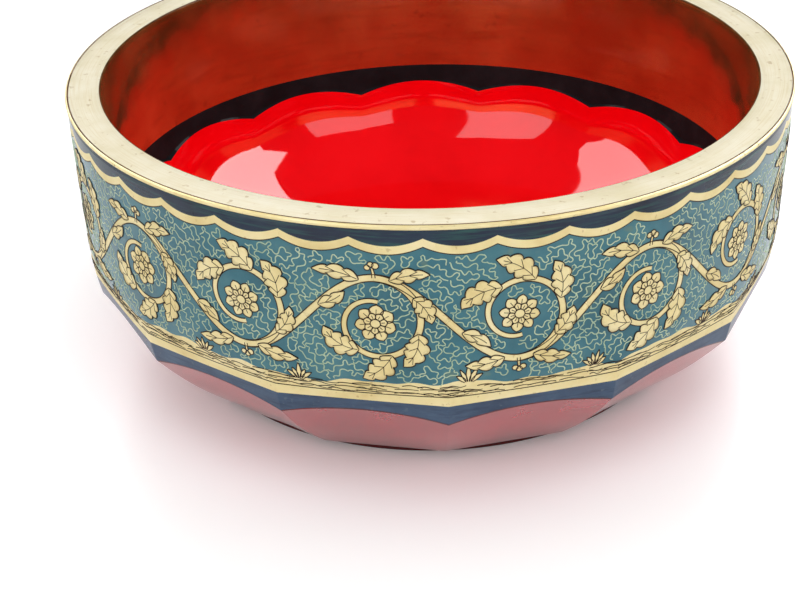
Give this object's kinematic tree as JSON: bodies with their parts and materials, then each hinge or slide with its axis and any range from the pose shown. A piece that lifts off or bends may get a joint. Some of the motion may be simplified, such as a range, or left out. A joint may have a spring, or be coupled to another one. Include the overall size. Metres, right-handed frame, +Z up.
{
  "type": "painted wooden bowl",
  "caption": "Wide turned wooden bowl with a flat gilded rim, a painted outer wall, a fluted many-sided lower body and a red lacquered lobed inside, for serving fruit or sweets.",
  "frame": {"origin": "on the table, under the middle of the bowl", "axes": "+Z up along the bowl's axis; -Y towards the viewer, through one of the outer ridges"},
  "size_m": [0.2208, 0.2208, 0.0912],
  "materials": {
    "gilding": "satin",
    "wall_paint": "gloss",
    "red_lacquer": "gloss",
    "black_lacquer": "gloss"
  },
  "bodies": {
    "root": {"rim_ring": "gilding", "wall_ring": "wall_paint", "lobed_bowl": "red_lacquer", "base_disc": "black_lacquer"}
  },
  "joints": []
}
